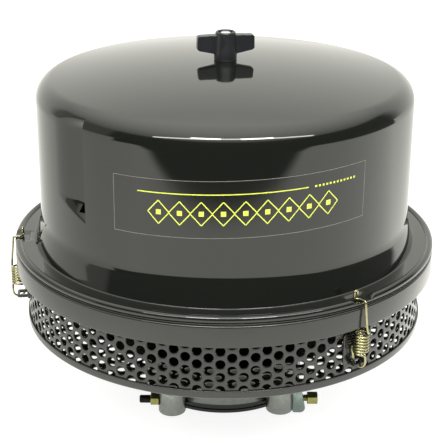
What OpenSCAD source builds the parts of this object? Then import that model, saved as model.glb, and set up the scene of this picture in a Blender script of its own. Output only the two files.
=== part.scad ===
// Centrifugal air pre-cleaner for an engine intake, millimetres.
// Z up, the mouth of the outlet on z = 0, the front (the side with the label) toward -Y.
// Azimuths count from the front, toward +X.

/* [Hood] */
// Outer radius of the hood's wall
hood_r = 178; // [170:1:186]
// Sheet thickness of the hood
hood_t = 1.5; // [1:0.1:2.5]
// Height at which the wall turns into the dome
hood_wall_top = 301.4; // [298:0.2:315]
// Radius of the knuckle between wall and dome
knuckle_r = 18.5; // [12:0.5:26]
// Radius of the shallow dome
crown_r = 926; // [700:1:1200]
// Lean of the skirt at the foot of the wall
skirt_lean = 16; // [12:0.5:20]
// Height at which the wall starts to bend out
skirt_top = 190.6; // [188:0.2:194]
// Radius of the bend between wall and skirt
skirt_bend_r = 30; // [20:1:40]
// Radius of the corner between skirt and flange
foot_r = 3; // [2:0.5:5]
// Radius of the rolled edge
bead_r = 3.6; // [2.8:0.1:4]

/* [Ejection slot] */
// Azimuth where the pressed-in panel starts
slot_az_start = -57; // [-70:1:-50]
// Azimuth of the slot's open edge
slot_az_end = -43; // [-46:1:-36]
// Bottom of the slot
slot_z0 = 224; // [212:1:240]
// Top of the slot
slot_z1 = 300; // [280:1:301]
// How far the panel is pressed in at the open edge
slot_depth = 11; // [8:0.5:14]

/* [Base] */
// Underside of the base pan above the outlet's mouth
base_z = 81; // [75:1:84]
// Sheet thickness of pan, band and deck
sheet_t = 1.5; // [1:0.1:2]
// Height of the pan's upturned lip
lip_h = 8; // [6:0.5:10]
// Outer radius of the support band
band_r = 204; // [200:0.5:208]
// Height of the support band
band_h = 21; // [18:0.5:24]

/* [Screen] */
// Outer radius of the perforated screen
screen_r = 193.5; // [190:0.5:196]
// Thickness of the screen
screen_t = 1.5; // [1:0.1:2]
// Height of the screen above the pan's floor
screen_h = 52.5; // [48:0.5:60]
// Diameter of the holes
hole_d = 8.4; // [6:0.1:9]
// Height between the holes of one column
hole_pitch = 11.4; // [10.5:0.1:13]
// Columns of holes round the screen
hole_columns = 120; // [80:4:120]

/* [Outlet] */
// Inner radius of the outlet tube, for a pipe of 152.4 mm
outlet_r = 76.4; // [70:0.1:80]
// Wall of the outlet tube
outlet_t = 1.6; // [1.2:0.1:2.5]
// Depth of the socket for the pipe
socket_h = 45; // [30:1:60]
// Step between the socket and the tube above it
socket_step = 1.5; // [1:0.1:2]
// Upper end of the outlet tube, inside the hood
outlet_z1 = 207; // [190:1:210]

/* [Swirl vanes] */
// Number of fixed vanes
vane_count = 24; // [16:1:30]
// Lean of the vanes from the upright
vane_lean = 48; // [35:1:55]
// Thickness of a vane
vane_t = 1.2; // [0.8:0.1:2]
// Inner radius of the vanes
vane_r0 = 112; // [100:1:130]
// Outer radius of the vanes
vane_r1 = 174; // [165:1:175]
// Height of the vane ring
vane_h = 15; // [12:0.5:18]

/* [Rotor] */
// Number of paddles
paddle_count = 5; // [3:1:8]
// Tip radius of the paddles
rotor_r = 156; // [130:1:160]
// Height of a paddle
paddle_h = 40; // [25:1:50]
// Thickness of a paddle
paddle_t = 1.8; // [1.2:0.1:3]
// Radius of the rotor hub
rotor_hub_r = 20; // [18:0.5:26]

/* [Spindle] */
// Radius of the centre stud
stud_r = 5; // [4:0.5:6]
// Running clearance on the stud
running_gap = 0.06; // [0.03:0.01:0.1]
// Clearance between pieces that move past each other
part_gap = 0.3; // [0.3:0.05:0.6]

/* [Knob] */
// Span over the wings
knob_span = 54.5; // [46:0.5:60]
// Height of the knob
knob_h = 25; // [22:0.5:30]
// Radius of the knob's collar
knob_collar_r = 10.6; // [9.5:0.1:12]
// Thickness of the wings
wing_t = 9; // [7:0.5:12]
// Turn of the wings from the X axis
knob_turn = 10; // [-40:1:40]

/* [Clips] */
// Azimuth of the first clip
clip_az = 36.5; // [0:0.5:60]
// Wire diameter
wire_d = 2; // [1.6:0.1:2.2]
// Mean radius of the coil
coil_r = 5.5; // [5:0.1:6]
// Turns of the coil
coil_turns = 7; // [4:1:8]
// Lower end of the coil
coil_z0 = 111.5; // [110:0.5:115]
// Upper end of the coil
coil_z1 = 131.5; // [127:0.5:133]
// Width of the clip brackets
bracket_w = 25; // [20:1:30]
// Middle height of the brackets' ears
ear_z = 101; // [99:0.5:102]

/* [Clamp] */
// Height of the clamp band
clamp_h = 18; // [14:1:24]
// Thickness of the clamp band
clamp_t = 1.6; // [1.2:0.1:2.5]
// Radius of the barrels
barrel_r = 13.3; // [11:0.1:15]
// Height of the barrels
barrel_h = 30; // [24:1:36]
// How far the barrels reach below the outlet's mouth
barrel_drop = 3; // [1:0.5:5]
// Azimuth of the left barrel
barrel_az_left = -32; // [-45:1:-25]
// Azimuth of the right barrel
barrel_az_right = 36.5; // [25:0.5:45]
// Radius of the clamp bolts
clamp_bolt_r = 3.5; // [3:0.1:4]

/* [Hidden] */
$fn = 96;

// Levels
pan_top = base_z + sheet_t;
screen_top = pan_top + screen_h;
band_top = screen_top + band_h;
gasket_t = 1.3;
gasket_top = band_top + gasket_t;
bead_z = gasket_top + bead_r;
bead_centre_r = band_r - bead_r;
flange_z = bead_z + 1.6;
skirt_l = (skirt_top - flange_z - foot_r - (skirt_bend_r - foot_r) * sin(skirt_lean)) / cos(skirt_lean);
foot_x = hood_r + skirt_bend_r - (skirt_bend_r - foot_r) * cos(skirt_lean) + skirt_l * sin(skirt_lean);
crown_angle = acos((hood_r - knuckle_r) / (crown_r - knuckle_r));
crown_z = hood_wall_top - (crown_r - knuckle_r) * sin(crown_angle);
apex = crown_z + crown_r;

// Points of an arc round (cx, cz), from angle a0 to a1 in n steps
function arc(cx, cz, r, a0, a1, n) = [for (i = [0:n]) let (a = a0 + (a1 - a0) * i / n)
    [cx + r * cos(a), cz + r * sin(a)]];
function reversed(list) = [for (i = [len(list) - 1:-1:0]) list[i]];
// Hood section at a depth d under the outer face, from the flange to the apex
function hood_line(d) = concat(
    [[bead_centre_r, flange_z - d]],
    reversed(arc(foot_x, flange_z + foot_r, foot_r + d, 180 + skirt_lean, 270, 6)),
    reversed(arc(hood_r + skirt_bend_r, skirt_top, skirt_bend_r + d, 180, 180 + skirt_lean, 4)),
    arc(hood_r - knuckle_r, hood_wall_top, knuckle_r - d, 0, crown_angle, 8),
    arc(0, crown_z, crown_r - d, crown_angle, 90, 10));
// Points on a circle of radius r at azimuth az
function at_az(r, az) = [r * sin(az), -r * cos(az)];

// Puts the X axis of its children along an azimuth
module to_az(az) {
    rotate([0, 0, az - 90]) children();
}

// A ring of rectangular section
module ring(r_in, r_out, z, h) {
    translate([0, 0, z]) difference() {
        cylinder(r = r_out, h = h);
        translate([0, 0, -1]) cylinder(r = r_in, h = h + 2);
    }
}

// Hook seats: the rolled edge is pressed flat where each clip crosses it
seat_w = 18;
seat_top = bead_z - 0.2;
seat_r0 = bead_centre_r - 10;

// Number of steps along the slot's panel, and how deep its first edge starts in the wall
panel_steps = 8;
panel_bite = 0.15;
function panel_r(i) = hood_r - panel_bite - slot_depth * (0.5 - 0.5 * cos(180 * min(1, i / panel_steps * 0.62))) / 0.684;
function panel_az(i) = slot_az_start + (slot_az_end - slot_az_start) * i / panel_steps;

module slot_sector(r_in, r_out, z0, z1) {
    translate([0, 0, z0]) linear_extrude(height = z1 - z0) polygon(concat(
        [for (i = [0:panel_steps]) at_az(r_out, panel_az(i))],
        [for (i = [panel_steps:-1:0]) at_az(r_in, panel_az(i))]));
}

// The panel pressed in beside the slot, closed at its top and bottom
module slot_panel() {
    cover = 1;
    panel_t = hood_t - 2 * panel_bite;
    first = slot_az_start - 0.5;
    translate([0, 0, slot_z0 - cover]) linear_extrude(height = slot_z1 - slot_z0 + 2 * cover) polygon(concat(
        [at_az(panel_r(0), first)],
        [for (i = [0:panel_steps]) at_az(panel_r(i), panel_az(i))],
        [for (i = [panel_steps:-1:0]) at_az(panel_r(i) - panel_t, panel_az(i))],
        [at_az(panel_r(0) - panel_t, first)]));
    for (z = [slot_z0 - hood_t - 0.05, slot_z1 + 0.05])
        translate([0, 0, z]) linear_extrude(height = hood_t) polygon(concat(
            [for (i = [0:panel_steps]) at_az(hood_r - 0.3, panel_az(i))],
            [for (i = [panel_steps:-1:0]) at_az(panel_r(i) - panel_t, panel_az(i))]));
}

module hood_shell() {
    rotate_extrude() polygon(concat(hood_line(0), reversed(hood_line(hood_t))));
    translate([0, 0, bead_z]) rotate_extrude() translate([bead_centre_r, 0]) rotate(100) circle(r = bead_r, $fn = 32);
}

module hood() {
    color([0.06, 0.06, 0.06]) difference() {
        union() {
            difference() {
                hood_shell();
                slot_sector(hood_r - 8, hood_r + 8, slot_z0, slot_z1);
                for (k = [0:2]) to_az(clip_az + 120 * k)
                    translate([seat_r0, -seat_w / 2, seat_top]) cube([30, seat_w, 5.5]);
            }
            slot_panel();
            for (k = [0:2]) to_az(clip_az + 120 * k) {
                translate([seat_r0 - hood_t, -seat_w / 2, seat_top - hood_t])
                    cube([bead_centre_r - seat_r0 + hood_t, seat_w, hood_t]);
                translate([seat_r0 - hood_t, -seat_w / 2, seat_top - hood_t])
                    cube([hood_t, seat_w, flange_z - 0.1 - seat_top + hood_t]);
            }
        }
        translate([0, 0, apex - 10]) cylinder(r = stud_r + 0.5, h = 20);
    }
}

module hood_gasket() {
    color([0.12, 0.12, 0.12]) ring(bead_centre_r - 6, bead_centre_r + 2, band_top, gasket_t);
}

// Base pan with an upturned lip, pierced for the outlet tube
module base_pan() {
    lip_r = screen_r + 0.1 + sheet_t;
    color([0.08, 0.08, 0.08]) {
        ring(outlet_r + outlet_t, lip_r, base_z, sheet_t);
        ring(lip_r - sheet_t, lip_r, base_z, lip_h);
    }
}

// Perforated screen: columns of holes, every other one half a pitch higher
module screen() {
    first = pan_top + 2.2;
    rows = floor((screen_h - hole_d) / hole_pitch) + 1;
    color([0.1, 0.1, 0.1]) difference() {
        ring(screen_r - screen_t, screen_r, pan_top, screen_h);
        for (c = [0:hole_columns - 1])
            for (row = [0:rows - 1 - c % 2])
                rotate([0, 0, (c + 0.5) * 360 / hole_columns])
                    translate([screen_r - 4, 0, first + hole_d / 2 + hole_pitch * (row + 0.5 * (c % 2))])
                        rotate([0, 90, 0]) cylinder(d = hole_d, h = 8, $fn = 24);
    }
}

// Channel that carries the hood: a deep outer wall with an inward flange above and below
module support_band() {
    color([0.08, 0.08, 0.08]) {
        ring(band_r - sheet_t, band_r, screen_top, band_h);
        ring(screen_r - screen_t - 1, band_r - sheet_t, screen_top, sheet_t);
        ring(hood_r + 4, band_r - sheet_t, band_top - sheet_t, sheet_t);
    }
}

vane_z1 = band_top - sheet_t;
vane_z0 = vane_z1 - vane_h;

// Fixed vanes that turn the rising air, between two rings
module vane_ring() {
    color([0.1, 0.1, 0.1]) {
        ring(vane_r1, vane_r1 + sheet_t, vane_z0, vane_h);
        ring(vane_r1 + sheet_t, hood_r + 12, vane_z1 - sheet_t, sheet_t);
        ring(vane_r0 - sheet_t, vane_r0, vane_z0, vane_h);
        intersection() {
            ring(vane_r0 - 0.5, vane_r1 + 0.5, vane_z0, vane_h);
            for (i = [0:vane_count - 1])
                to_az((i + 0.5) * 360 / vane_count) translate([0, 0, vane_z0 + vane_h / 2]) rotate([vane_lean, 0, 0])
                    translate([vane_r0 - 3, -vane_t / 2, -vane_h]) cube([vane_r1 - vane_r0 + 6, vane_t, 2 * vane_h]);
        }
    }
}

// Plate that closes the space between the outlet tube and the vane ring
module inner_deck() {
    color([0.1, 0.1, 0.1]) {
        ring(outlet_r + outlet_t, vane_r0 - sheet_t, vane_z0, sheet_t);
        ring(outlet_r + outlet_t, outlet_r + outlet_t + sheet_t, vane_z0, 10);
    }
}

// Outlet tube, with a raised bead near its lower end for the clamp
module outlet_tube() {
    color([0.07, 0.07, 0.07]) {
        ring(outlet_r, outlet_r + outlet_t, 0, socket_h);
        ring(tube_r, outlet_r + outlet_t, socket_h, outlet_z1 - socket_h);
        ring(outlet_r + outlet_t, outlet_r + outlet_t + 1.2, 0, 3);
    }
}

tube_r = outlet_r - socket_step;
spider_h = 18;
spider_z = outlet_z1 - spider_h - 4;
spider_hub_r = 14;

// Spider that holds the stud in the middle of the outlet
module stud_spider() {
    color([0.25, 0.25, 0.26]) difference() {
        union() {
            translate([0, 0, spider_z]) cylinder(r = spider_hub_r, h = spider_h);
            intersection() {
                for (k = [0:2]) to_az(60 + 120 * k)
                    translate([0, -2.5, spider_z]) cube([tube_r + 2, 5, spider_h - 3]);
                translate([0, 0, spider_z]) cylinder(r = tube_r, h = spider_h);
            }
        }
        translate([0, 0, spider_z - 1]) cylinder(r = stud_r, h = spider_h + 2);
    }
}

knob_z = apex + 1.5;
stud_top = knob_z + knob_h - 3.5;

module centre_stud() {
    color([0.75, 0.75, 0.76]) translate([0, 0, spider_z - 6]) cylinder(r = stud_r, h = stud_top - spider_z + 6);
}

collar_h = 16;
bearing_h = 8;
bearing_r = 13;
rotor_z0 = spider_z + spider_h + collar_h;
rotor_hub_h = 46;

// Collar on the spider, on which the lower bearing runs
module spindle_collar() {
    color([0.7, 0.7, 0.7]) ring(stud_r, 9, spider_z + spider_h, collar_h - part_gap);
}

module bearing(z) {
    ring(stud_r + running_gap, bearing_r, z, bearing_h);
}

module rotor_bearing_lower() {
    color([0.72, 0.72, 0.74]) bearing(rotor_z0);
}

module rotor_bearing_upper() {
    color([0.72, 0.72, 0.74]) bearing(rotor_z0 + rotor_hub_h - bearing_h);
}

module rotor_lock_nut() {
    color([0.75, 0.75, 0.76]) translate([0, 0, rotor_z0 + rotor_hub_h + part_gap]) difference() {
        cylinder(r = 9.5, h = 8, $fn = 6);
        translate([0, 0, -1]) cylinder(r = stud_r, h = 10, $fn = 48);
    }
}

// One paddle: a flat arm that widens outward, with a bent tip
module paddle() {
    z_mid = rotor_z0 + rotor_hub_h / 2;
    root_h = paddle_h * 0.6;
    tip_l = 22;
    translate([0, paddle_t / 2, z_mid]) rotate([90, 0, 0]) linear_extrude(height = paddle_t) polygon([
        [rotor_hub_r - 2, -root_h / 2], [rotor_r - tip_l, -paddle_h / 2],
        [rotor_r - tip_l, paddle_h / 2], [rotor_hub_r - 2, root_h / 2]]);
    translate([rotor_r - tip_l - 0.6, 0, z_mid]) rotate([0, 0, 18]) translate([0, -paddle_t / 2, -paddle_h / 2])
        cube([tip_l, paddle_t, paddle_h]);
}

// Free-spinning rotor that throws the dust to the slot
module rotor() {
    color([0.16, 0.16, 0.17]) {
        difference() {
            union() {
                translate([0, 0, rotor_z0]) cylinder(r = rotor_hub_r, h = rotor_hub_h);
                for (k = [0:paddle_count - 1]) rotate([0, 0, 360 / paddle_count * k]) paddle();
            }
            translate([0, 0, rotor_z0 - 1]) cylinder(r = bearing_r, h = rotor_hub_h + 2);
        }
        ring(bearing_r - 3, bearing_r + 1, rotor_z0 + bearing_h, rotor_hub_h - 2 * bearing_h);
    }
}

// Nut under the dome that the hood seats on
module hood_stop_nut() {
    color([0.75, 0.75, 0.76]) translate([0, 0, apex - hood_t - 0.15 - 9]) difference() {
        cylinder(r = 9.5, h = 9, $fn = 6);
        translate([0, 0, -1]) cylinder(r = stud_r, h = 11, $fn = 48);
    }
}

module knob_washer() {
    color([0.1, 0.1, 0.1]) ring(stud_r + 0.2, knob_collar_r, apex, 1.5 - part_gap);
}

insert_r = 7.6;
insert_h = 15;
knob_top_r = 8.4;

// Wing of the knob, seen from its side
module wing_outline() {
    half = knob_span / 2;
    top = knob_h - 3.2;
    polygon([[0, 5], [knob_collar_r, 7.8], [half - 1.6, 9.6], [half, 11.2], [half - 0.8, top - 2],
        [half - 2.6, top - 0.2], [knob_collar_r - 1, top], [0, top + 0.6]]);
}

// Moulded knob: collar, tapered hub and two wings
module knob() {
    color([0.05, 0.05, 0.05]) translate([0, 0, knob_z]) rotate([0, 0, knob_turn]) difference() {
        union() {
            cylinder(r = knob_collar_r, h = 8);
            translate([0, 0, 8]) cylinder(r1 = knob_collar_r, r2 = knob_top_r, h = knob_h - 8);
            for (side = [0, 180]) rotate([0, 0, side])
                translate([0, wing_t / 2, 0]) rotate([90, 0, 0]) linear_extrude(height = wing_t) wing_outline();
        }
        translate([0, 0, -1]) cylinder(r = insert_r, h = insert_h + 1);
        translate([0, 0, insert_h - 1]) cylinder(r = stud_r + 1.4, h = knob_h);
    }
}

module knob_insert() {
    color([0.72, 0.6, 0.3]) ring(stud_r + running_gap, insert_r, knob_z, insert_h);
}

// Clip wire, in the clip's own frame: X outward from the coil's axis, Z up
clip_r = 204;
ear_t = 2.5;
hook_z = seat_top + part_gap + wire_d / 2;
hook_x = bead_centre_r - 4 - clip_r;
corner_x = 2.4;
corner_r = 2.4;
eye_r = 2.4;
eye_h = 4.6;
leg_in = [-6.8, -3];
loop_z = ear_z - ear_t / 2 - 0.72 - wire_d / 2;
loop_mid = [(coil_r + leg_in[0]) / 2, leg_in[1] / 2];
loop_half = norm([coil_r, 0] - leg_in) / 2;
loop_dir = ([coil_r, 0] - leg_in) / (2 * loop_half);
steps_per_turn = 12;

function eye_path() = concat(
    [for (i = [0:8]) let (a = 20 * i) [hook_x, -eye_r + eye_r * cos(a), hook_z + eye_r + eye_h + eye_r * sin(a)]],
    [for (i = [0:6]) let (a = 180 + 15 * i) [hook_x, -eye_r + eye_r * cos(a), hook_z + eye_r + eye_r * sin(a)]],
    [[hook_x + 0.5, -0.9, hook_z]]);
function arm_path() = concat(
    [[hook_x + 2.2, 0, hook_z]],
    [for (i = [0:4]) let (a = 90 - 21 * i)
        [corner_x - corner_r + corner_r * cos(a), 0, hook_z - corner_r + corner_r * sin(a)]]);
function coil_path() = [for (i = [0:coil_turns * steps_per_turn]) let (a = 360 * i / steps_per_turn)
    [coil_r * cos(a), coil_r * sin(a), coil_z1 - (coil_z1 - coil_z0) * i / (coil_turns * steps_per_turn)]];
function loop_path() = concat(
    [for (i = [0:8]) let (a = -22.5 * i, c = loop_mid + loop_dir * loop_half * cos(a))
        [c[0], c[1], loop_z + loop_half + loop_half * sin(a)]],
    [[leg_in[0] - 1, leg_in[1] - 1.6, coil_z0 + 4.5]]);
function clip_path() = concat(eye_path(), arm_path(), coil_path(), loop_path());

function unit(v) = v / norm(v);
function tangent(p, i) = unit(p[min(i + 1, len(p) - 1)] - p[max(i - 1, 0)]);
function square_to(v, t) = unit(v - (v * t) * t);

// A round bar along a path: the section is carried along without twist
module swept_wire(p, d, sides) {
    n = len(p);
    side = [for (i = 0, v = square_to([1, 0, 0], tangent(p, 0)); i < n;
        i = i + 1, v = i < n ? square_to(v, tangent(p, i)) : v) v];
    points = [for (i = [0:n - 1]) let (t = tangent(p, i), u = side[i], w = cross(t, u))
        for (j = [0:sides - 1]) p[i] + d / 2 * (cos(360 * j / sides) * u + sin(360 * j / sides) * w)];
    quads = [for (i = [0:n - 2]) for (j = [0:sides - 1])
        [i * sides + j, i * sides + (j + 1) % sides, (i + 1) * sides + (j + 1) % sides, (i + 1) * sides + j]];
    ends = [[for (j = [sides - 1:-1:0]) j], [for (j = [0:sides - 1]) (n - 1) * sides + j]];
    polyhedron(points = points, faces = concat([for (q = quads) reversed(q)], [for (e = ends) reversed(e)]), convexity = 10);
}

module clip(k) {
    color([0.78, 0.72, 0.45]) to_az(clip_az + 120 * k) translate([clip_r, 0, 0]) swept_wire(clip_path(), wire_d, 8);
}

// Bracket on the screen: a plate with a slotted ear that the clip's loop hangs in
module clip_bracket(k) {
    web = 2.5;
    tip_x = clip_r + web / 2;
    slot_x0 = clip_r - web / 2 - 7;
    ear_w = 15;
    color([0.08, 0.08, 0.08]) to_az(clip_az + 120 * k) difference() {
        union() {
            intersection() {
                ring(screen_r, screen_r + sheet_t, ear_z - ear_t / 2, 29);
                translate([screen_r - 10, -bracket_w / 2, 0]) cube([20, bracket_w, 400]);
            }
            intersection() {
                translate([screen_r, -ear_w / 2, ear_z - ear_t / 2]) cube([tip_x - screen_r, ear_w, ear_t]);
                ring(screen_r, tip_x, ear_z - ear_t / 2, ear_t);
            }
        }
        translate([slot_x0, -4.6, ear_z - 5]) cube([7, 9.2, 10]);
    }
}

clamp_z = 9;
clamp_r = outlet_r + outlet_t;
barrel_centre_r = clamp_r + clamp_t + barrel_r + 0.2;
bolt_z = clamp_z + 6;

module band_arc(az0, az1, r, t, z, h) {
    to_az(az0) rotate_extrude(angle = az1 - az0) translate([r, z]) square([t, h]);
}

module clamp_band_front() {
    color([0.7, 0.7, 0.7]) band_arc(barrel_az_left + 1, barrel_az_right - 1, clamp_r, clamp_t, clamp_z, clamp_h);
}

module clamp_band_rear() {
    color([0.7, 0.7, 0.7]) {
        band_arc(barrel_az_right + 6, 360 + barrel_az_left - 6, clamp_r, clamp_t, clamp_z, clamp_h);
        for (side = [[barrel_az_right, 1], [barrel_az_left, -1]]) difference() {
            to_az(side[0]) translate([barrel_centre_r, side[1] * (barrel_r + 3.5), 0]) difference() {
                translate([-barrel_r - 4, -2, clamp_z]) cube([2 * barrel_r, 4, clamp_h]);
                translate([0, 0, bolt_z]) rotate([90, 0, 0]) cylinder(r = clamp_bolt_r, h = 20, center = true);
            }
            cylinder(r = clamp_r + clamp_t / 2, h = 200, center = true);
        }
    }
}

module barrel(az) {
    to_az(az) translate([barrel_centre_r, 0, 0]) difference() {
        translate([0, 0, -barrel_drop]) cylinder(r = barrel_r, h = barrel_h);
        translate([0, 0, bolt_z]) rotate([90, 0, 0]) cylinder(r = clamp_bolt_r, h = 4 * barrel_r, center = true);
        translate([0, 0, bolt_z]) rotate([90, 0, 90]) cylinder(r = clamp_bolt_r, h = 4 * barrel_r, center = true);
    }
}

module clamp_barrel_left() {
    color([0.72, 0.72, 0.72]) barrel(barrel_az_left);
}

module clamp_barrel_right() {
    color([0.72, 0.72, 0.72]) barrel(barrel_az_right);
}

// Clamp bolt along the tangent, its head on the far side of the lug
module clamp_bolt(az, side) {
    to_az(az) translate([barrel_centre_r, 0, bolt_z]) rotate([side * -90, 0, 0]) {
        translate([0, 0, -barrel_r]) cylinder(r = clamp_bolt_r, h = 2 * barrel_r + 12);
        translate([0, 0, barrel_r + 12]) cylinder(r = 7, h = 5, $fn = 6);
    }
}

module clamp_bolt_left() {
    color([0.76, 0.68, 0.4]) clamp_bolt(barrel_az_left, -1);
}

module clamp_bolt_right() {
    color([0.76, 0.68, 0.4]) clamp_bolt(barrel_az_right, 1);
}

module clamp_nut(az, side) {
    to_az(az) translate([barrel_centre_r, 0, bolt_z]) rotate([side * -90, 0, 0])
        translate([0, 0, barrel_r + 6.2]) difference() {
            cylinder(r = 7, h = 5, $fn = 6);
            translate([0, 0, -1]) cylinder(r = clamp_bolt_r, h = 7, $fn = 48);
        }
}

module clamp_nut_left() {
    color([0.76, 0.68, 0.4]) clamp_nut(barrel_az_left, -1);
}

module clamp_nut_right() {
    color([0.76, 0.68, 0.4]) clamp_nut(barrel_az_right, 1);
}

hood();
hood_gasket();
knob();
knob_insert();
knob_washer();
hood_stop_nut();
centre_stud();
stud_spider();
outlet_tube();
base_pan();
screen();
support_band();
vane_ring();
inner_deck();
rotor();
rotor_bearing_lower();
rotor_bearing_upper();
spindle_collar();
rotor_lock_nut();
clip(0);  // clip_1
clip(1);  // clip_2
clip(2);  // clip_3
clip_bracket(0);  // clip_bracket_1
clip_bracket(1);  // clip_bracket_2
clip_bracket(2);  // clip_bracket_3
clamp_band_front();
clamp_band_rear();
clamp_barrel_left();
clamp_barrel_right();
clamp_bolt_left();
clamp_bolt_right();
clamp_nut_left();
clamp_nut_right();
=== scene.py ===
import math

import bmesh
import bpy
import numpy as np
from mathutils import Matrix, Vector


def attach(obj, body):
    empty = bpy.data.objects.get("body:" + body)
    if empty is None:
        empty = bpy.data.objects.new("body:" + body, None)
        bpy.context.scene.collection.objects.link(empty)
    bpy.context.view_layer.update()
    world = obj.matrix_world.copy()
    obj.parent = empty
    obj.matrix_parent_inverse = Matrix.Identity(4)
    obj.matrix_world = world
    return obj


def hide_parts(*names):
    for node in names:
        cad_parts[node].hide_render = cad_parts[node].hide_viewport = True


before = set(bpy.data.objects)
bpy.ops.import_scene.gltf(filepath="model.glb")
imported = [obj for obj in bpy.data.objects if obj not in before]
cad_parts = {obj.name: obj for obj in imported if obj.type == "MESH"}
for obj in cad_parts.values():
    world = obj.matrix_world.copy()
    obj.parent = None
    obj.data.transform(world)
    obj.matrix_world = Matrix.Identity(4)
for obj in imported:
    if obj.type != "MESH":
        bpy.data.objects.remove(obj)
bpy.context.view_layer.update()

# Outlet neck, the tube that slips over the engine's intake pipe and rises inside the hood.
# Rolled mild steel, seam welded, then powder coated black in one pass with the pan and band,
# so it has the same soft satin skin with a fine orange peel.
MM = 0.001


def linear(code):
    """An sRGB hex colour as the linear RGBA that shader sockets take."""
    parts = [int(code[i : i + 2], 16) / 255 for i in (1, 3, 5)]
    return [p / 12.92 if p <= 0.04045 else ((p + 0.055) / 1.055) ** 2.4 for p in parts] + [1.0]


def add(tree, kind, inputs=None, **settings):
    """Adds a node with its settings; an input is linked where it is a socket and set where it is a value."""
    made = tree.nodes.new(kind)
    for name, value in settings.items():
        setattr(made, name, value)
    for socket, value in (inputs or {}).items():
        if isinstance(value, bpy.types.NodeSocket):
            tree.links.new(value, made.inputs[socket])
        else:
            made.inputs[socket].default_value = value
    return made


def bare_finish(name):
    """An empty material, and the place on the piece that its patterns are drawn from."""
    material = bpy.data.materials.new(name)
    material.use_nodes = True
    tree = material.node_tree
    tree.nodes.clear()
    return material, tree, add(tree, "ShaderNodeTexCoord").outputs["Object"]


def powder_coat(name, colour, roughness, coat, peel_mm, peel_height_mm, dust):
    """Baked polyester powder on steel: deep black with a glossy skin, orange peel and a little dust.

    The dust's specks are drawn at 1.6 mm, coarser than real ones, so that they show.
    """
    draw_mm, draw_height_mm, speck_mm, cloud_mm = 55, 0.05, 1.6, 38
    material, tree, place = bare_finish(name)
    peel = add(tree, "ShaderNodeTexNoise", {"Vector": place, "Scale": 1 / (peel_mm * MM), "Detail": 2.0})
    draw = add(tree, "ShaderNodeTexNoise", {"Vector": place, "Scale": 1 / (draw_mm * MM), "Detail": 1.0})
    waves = add(
        tree,
        "ShaderNodeBump",
        {"Height": draw.outputs["Fac"], "Strength": 1.0, "Distance": draw_height_mm * MM},
    )
    bump = add(
        tree,
        "ShaderNodeBump",
        {
            "Height": peel.outputs["Fac"],
            "Strength": 1.0,
            "Distance": peel_height_mm * MM,
            "Normal": waves.outputs["Normal"],
        },
    )
    specks = add(tree, "ShaderNodeTexNoise", {"Vector": place, "Scale": 1 / (speck_mm * MM), "Detail": 3.0})
    speck = add(
        tree, "ShaderNodeMapRange", {0: specks.outputs["Fac"], 1: 0.66, 2: 0.8, 3: 0.0, 4: dust}, clamp=True
    )
    cloud = add(tree, "ShaderNodeTexNoise", {"Vector": place, "Scale": 1 / (cloud_mm * MM), "Detail": 4.0})
    tone = add(
        tree,
        "ShaderNodeMix",
        {0: speck.outputs[0], 6: linear(colour), 7: linear("#6f6d66")},
        data_type="RGBA",
    )
    sheen = add(
        tree,
        "ShaderNodeMapRange",
        {0: cloud.outputs["Fac"], 1: 0.3, 2: 0.7, 3: roughness * 0.85, 4: roughness * 1.2},
        clamp=True,
    )
    skin = add(
        tree,
        "ShaderNodeBsdfPrincipled",
        {
            "Base Color": tone.outputs[2],
            "Roughness": sheen.outputs[0],
            "IOR": 1.5,
            "Coat Weight": coat,
            "Coat Roughness": 0.02,
            "Coat IOR": 1.5,
            "Normal": bump.outputs["Normal"],
            "Coat Normal": bump.outputs["Normal"],
        },
    )
    add(tree, "ShaderNodeOutputMaterial", {"Surface": skin.outputs[0]})
    return material


def dress(material, *nodes):
    """Gives CAD nodes a finish on the slots that they already have."""
    for node in nodes:
        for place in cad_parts[node].material_slots:
            place.material = material


satin_black = powder_coat("powder_coat_satin_black", "#10110f", 0.22, 0.15, 1.8, 0.008, 0.12)
dress(satin_black, "outlet_tube", "inner_deck")


# Base pan under the screen, pressed from 1.5 mm steel sheet with its lip turned up.
# The press leaves a soft corner at the foot of the lip and a sheared, slightly rounded top edge.
def ring_faces(count, n, first=0):
    """Faces between count loops of n points each, the last loop joined to the first."""
    return [
        tuple(first + a % count * n + b % n for a, b in ((i, j), (i + 1, j), (i + 1, j + 1), (i, j + 1)))
        for i in range(count)
        for j in range(n)
    ]


def turned(name, section, material, body, slot, *nodes, steps=288):
    """A ring swept round the Z axis from a closed section of (radius, height) points in millimetres."""
    angles = np.linspace(0, 2 * math.pi, steps, endpoint=False)
    points = [(r * math.sin(a) * MM, -r * math.cos(a) * MM, z * MM) for a in angles for r, z in section]
    return piece(name, points, ring_faces(steps, len(section)), material, body, slot, *nodes)


def piece(name, points, faces, material, body, slot, *nodes, sharp=40):
    """A mesh piece with its finish, riding its body and standing for its CAD nodes."""
    mesh = bpy.data.meshes.new(name)
    mesh.from_pydata([tuple(p) for p in points], [], faces)
    work = bmesh.new()
    work.from_mesh(mesh)
    bmesh.ops.recalc_face_normals(work, faces=work.faces)
    work.to_mesh(mesh)
    work.free()
    mesh.validate()
    mesh.shade_smooth()
    mesh.set_sharp_from_angle(angle=math.radians(sharp))
    mesh.materials.append(material)
    made = bpy.data.objects.new(name, mesh)
    bpy.context.scene.collection.objects.link(made)
    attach(made, body)
    if nodes:
        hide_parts(*nodes)
    return made


def bend(cx, cz, r, start, end, steps=6):
    """Points of an arc in a section, in degrees."""
    return [
        (cx + r * math.cos(math.radians(a)), cz + r * math.sin(math.radians(a)))
        for a in np.linspace(start, end, steps + 1)
    ]


sheet = 1.5
pan_bottom = 81.0
neck_r = 78.0
lip_r = 195.1
lip_top = 89.0
lip_bend_r, lip_edge_r = 2.6, 0.6


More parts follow.
